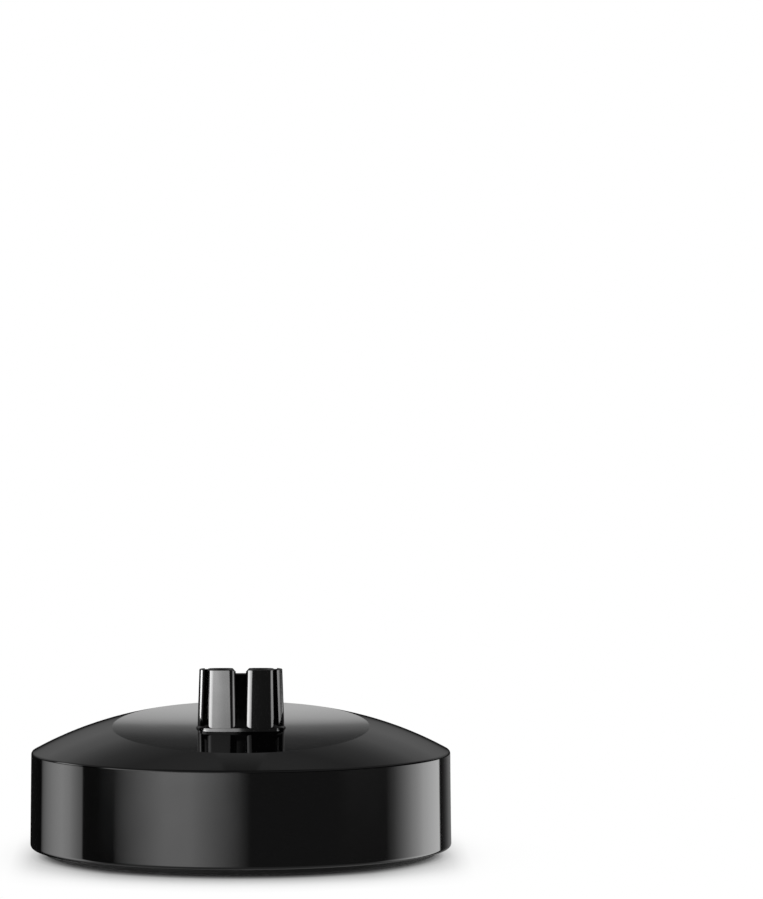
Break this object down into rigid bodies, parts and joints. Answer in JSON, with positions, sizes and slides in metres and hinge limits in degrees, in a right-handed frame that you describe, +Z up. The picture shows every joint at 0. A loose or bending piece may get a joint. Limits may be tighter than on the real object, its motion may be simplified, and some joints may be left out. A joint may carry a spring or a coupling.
{
  "type": "shaver charging stand",
  "caption": "Round weighted charging stand with a sloping dish, an upright two-pole contact post and a two-pin supply inlet at the rear.",
  "frame": {"origin": "on the housing's vertical axis at table height, which is the middle of the underside of its box", "axes": "+Z up, -Y to the front, where the dish slopes down, +Y to the rear with the supply inlet, +X to the right as seen from the front"},
  "size_m": [0.0854, 0.0854, 0.0387],
  "materials": {
    "housing_gloss": "high-gloss black moulded plastic",
    "post_gloss": "gloss black moulded plastic",
    "base_satin": "satin black moulded plastic",
    "inlet_satin": "satin black moulded plastic",
    "foot_rubber": "matt black rubber",
    "screw_steel": "zinc-plated steel",
    "ballast_steel": "rolled steel plate",
    "pad_foam": "closed-cell foam",
    "seal_silicone": "grey silicone",
    "carrier_nylon": "natural nylon",
    "contact_nickel": "nickel-plated brass",
    "wire_blue_pvc": "blue insulation",
    "wire_red_pvc": "red insulation",
    "shrink_black": "black heat-shrink sleeving"
  },
  "bodies": {
    "root": {"upper_shell": "housing_gloss", "base_cover": "base_satin", "foot_ring": "foot_rubber", "case_screws": "screw_steel", "ballast_plate": "ballast_steel", "ballast_pad": "pad_foam", "ballast_screws": "screw_steel", "connector_post": "post_gloss", "post_seal": "seal_silicone", "contact_carrier": "carrier_nylon", "post_screws": "screw_steel", "contact_sleeve_left": "contact_nickel", "contact_sleeve_right": "contact_nickel", "inlet_housing": "inlet_satin", "inlet_seal": "seal_silicone", "inlet_screws": "screw_steel", "inlet_pin_left": "contact_nickel", "inlet_pin_right": "contact_nickel", "wire_left": "wire_blue_pvc", "wire_right": "wire_red_pvc", "contact_shrink_sleeves": "shrink_black", "inlet_shrink_sleeves": "shrink_black", "wire_clip": "carrier_nylon"}
  },
  "joints": []
}
